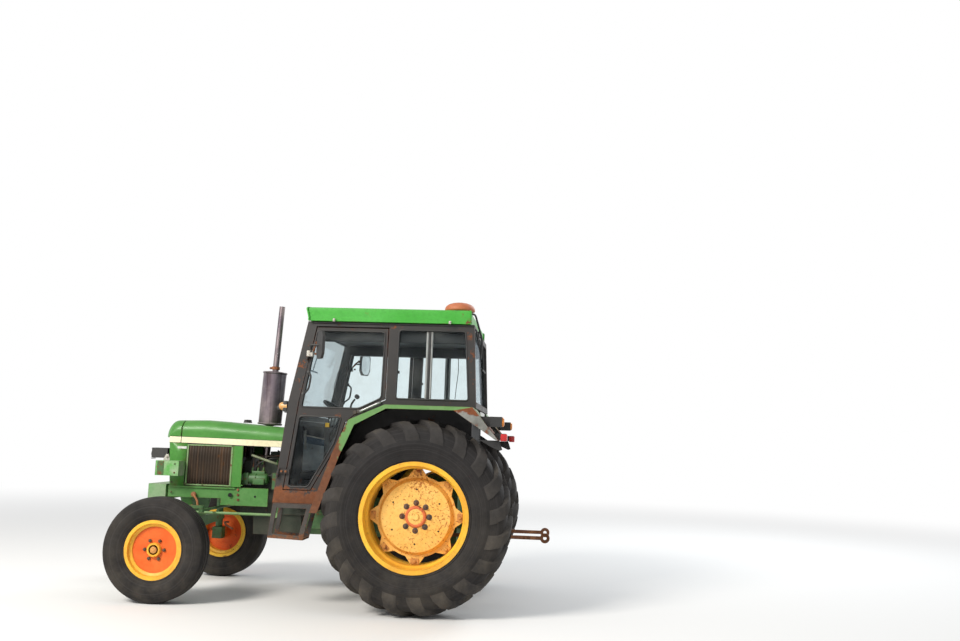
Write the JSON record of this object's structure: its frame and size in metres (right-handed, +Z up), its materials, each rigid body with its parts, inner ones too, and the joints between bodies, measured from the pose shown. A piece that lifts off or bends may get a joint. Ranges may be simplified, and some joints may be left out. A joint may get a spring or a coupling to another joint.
{
  "type": "farm tractor",
  "caption": "Small two-wheel-drive farm tractor with a glazed cab, open engine bay, upright exhaust and rear three-point hitch; wheels roll, front wheels steer, doors open, hitch lifts.",
  "frame": {"origin": "on the ground, under the middle of the overall length and width", "axes": "+X forwards, +Y to the tractor's left, +Z up"},
  "size_m": [3.384, 1.93, 2.4139],
  "materials": {
    "bare_rust": "rusty",
    "black_plastic": "matt",
    "cab_brown": "dull, rusty",
    "dark_steel": "oily",
    "disc_orange": "faded gloss",
    "green_faded": "faded satin",
    "green_paint": "worn satin",
    "muffler_steel": "stained",
    "rim_yellow": "faded gloss with rust stains",
    "roof_green": "gloss",
    "seat_vinyl": "worn vinyl",
    "tyre_black": "worn",
    "window_glass": "clear"
  },
  "bodies": {
    "chassis": {"cab_floor": "cab_brown", "cab_frame": "cab_brown", "cab_walls": "cab_brown", "console": "black_plastic", "drawbar": "bare_rust", "engine": "green_paint", "exhaust": "muffler_steel", "fan": "green_paint", "fender_left": "green_faded", "fender_right": "green_faded", "front_axle": "green_paint", "front_ballast": "green_faded", "front_support": "green_paint", "gearbox": "green_paint", "grille": "dark_steel", "headlamps": "green_paint", "hood": "green_paint", "levers": "dark_steel", "nose": "green_paint", "pto_shaft": "bare_rust", "radiator": "dark_steel", "rear_axle": "green_paint", "rear_window": "window_glass", "roof": "roof_green", "roof_cap": "bare_rust", "seat_back": "seat_vinyl", "seat_cushion": "seat_vinyl", "side_plates": "green_paint", "side_screens": "bare_rust", "side_windows": "window_glass", "signal_lamps": "black_plastic", "steering_gear": "green_paint", "steering_wheel": "black_plastic", "steps": "cab_brown", "windscreen": "window_glass", "work_lamps": "black_plastic"},
    "rear_wheel_left": {"rear_tyre_left": "tyre_black", "rear_rim_left": "rim_yellow", "rear_disc_left": "rim_yellow"},
    "rear_wheel_right": {"rear_tyre_right": "tyre_black", "rear_rim_right": "rim_yellow", "rear_disc_right": "rim_yellow"},
    "front_wheel_left": {"front_tyre_left": "tyre_black", "front_rim_left": "rim_yellow", "front_disc_left": "disc_orange"},
    "front_wheel_right": {"front_tyre_right": "tyre_black", "front_rim_right": "rim_yellow", "front_disc_right": "disc_orange"},
    "steer_left": {"knuckle_left": "green_paint"},
    "steer_right": {"knuckle_right": "green_paint"},
    "tie_rod_body": {"tie_rod": "green_paint"},
    "drag_link_body": {"drag_link": "green_paint"},
    "drop_arm_body": {"drop_arm": "green_paint"},
    "door_left_body": {"door_left": "cab_brown", "door_glass_left": "window_glass"},
    "door_right_body": {"door_right": "cab_brown", "door_glass_right": "window_glass"},
    "lower_links_body": {"lower_links": "bare_rust"},
    "lift_arms_body": {"lift_arms": "green_paint"},
    "lift_rods_body": {"lift_rods": "bare_rust"}
  },
  "joints": [
    {"name": "rear_wheel_left_spin", "type": "hinge", "parent": "chassis", "child": "rear_wheel_left", "pos_m": [-0.694, 0.75, 0.72], "axis": [0, 1, 0], "continuous": true},
    {"name": "steer_left_turn", "type": "hinge", "parent": "chassis", "child": "steer_left", "pos_m": [1.297, 0.585, 0.395], "axis": [0, 0, 1], "range_deg": [-40, 40]},
    {"name": "front_wheel_left_spin", "type": "hinge", "parent": "steer_left", "child": "front_wheel_left", "pos_m": [1.297, 0.74, 0.395], "axis": [0, 1, 0], "continuous": true},
    {"name": "rear_wheel_right_spin", "type": "hinge", "parent": "chassis", "child": "rear_wheel_right", "pos_m": [-0.694, -0.75, 0.72], "axis": [0, 1, 0], "continuous": true},
    {"name": "steer_right_turn", "type": "hinge", "parent": "chassis", "child": "steer_right", "pos_m": [1.297, -0.585, 0.395], "axis": [0, 0, 1], "range_deg": [-40, 40]},
    {"name": "front_wheel_right_spin", "type": "hinge", "parent": "steer_right", "child": "front_wheel_right", "pos_m": [1.297, -0.74, 0.395], "axis": [0, 1, 0], "continuous": true},
    {"name": "tie_rod_swing", "type": "hinge", "parent": "steer_left", "child": "tie_rod_body", "pos_m": [1.027, 0.585, 0.684], "axis": [0, 0, 1], "range_deg": [-40, 40]},
    {"name": "drag_link_swing", "type": "hinge", "parent": "steer_left", "child": "drag_link_body", "pos_m": [1.297, 0.34, 0.65], "axis": [0, 0, 1], "range_deg": [-40, 40]},
    {"name": "drop_arm_turn", "type": "hinge", "parent": "chassis", "child": "drop_arm_body", "pos_m": [0.506, 0.29, 0.895], "axis": [0, 1, 0], "range_deg": [-40, 40]},
    {"name": "door_left_hinge", "type": "hinge", "parent": "chassis", "child": "door_left_body", "pos_m": [0.395, 0.72, 1.014], "axis": [0.1955, 0, -0.9807], "range_deg": [0, 80]},
    {"name": "door_right_hinge", "type": "hinge", "parent": "chassis", "child": "door_right_body", "pos_m": [0.395, -0.72, 1.014], "axis": [-0.1955, 0, 0.9807], "range_deg": [0, 80]},
    {"name": "lower_links_lift", "type": "hinge", "parent": "chassis", "child": "lower_links_body", "pos_m": [-0.864, 0, 0.545], "axis": [0, 1, 0], "range_deg": [-20, 25]},
    {"name": "lift_arms_turn", "type": "hinge", "parent": "chassis", "child": "lift_arms_body", "pos_m": [-0.864, 0, 0.95], "axis": [0, 1, 0], "range_deg": [-20, 25]},
    {"name": "lift_rods_swing", "type": "hinge", "parent": "lower_links_body", "child": "lift_rods_body", "pos_m": [-1.134, 0, 0.545], "axis": [0, 1, 0], "range_deg": [-25, 25]}
  ],
  "couplings": [
    {"joint": "steer_right_turn", "follows": "steer_left_turn", "ratio": 1},
    {"joint": "tie_rod_swing", "follows": "steer_left_turn", "ratio": -1},
    {"joint": "drag_link_swing", "follows": "steer_left_turn", "ratio": -1},
    {"joint": "drop_arm_turn", "follows": "steer_left_turn", "ratio": -1},
    {"joint": "lift_arms_turn", "follows": "lower_links_lift", "ratio": 1},
    {"joint": "lift_rods_swing", "follows": "lower_links_lift", "ratio": -1}
  ]
}
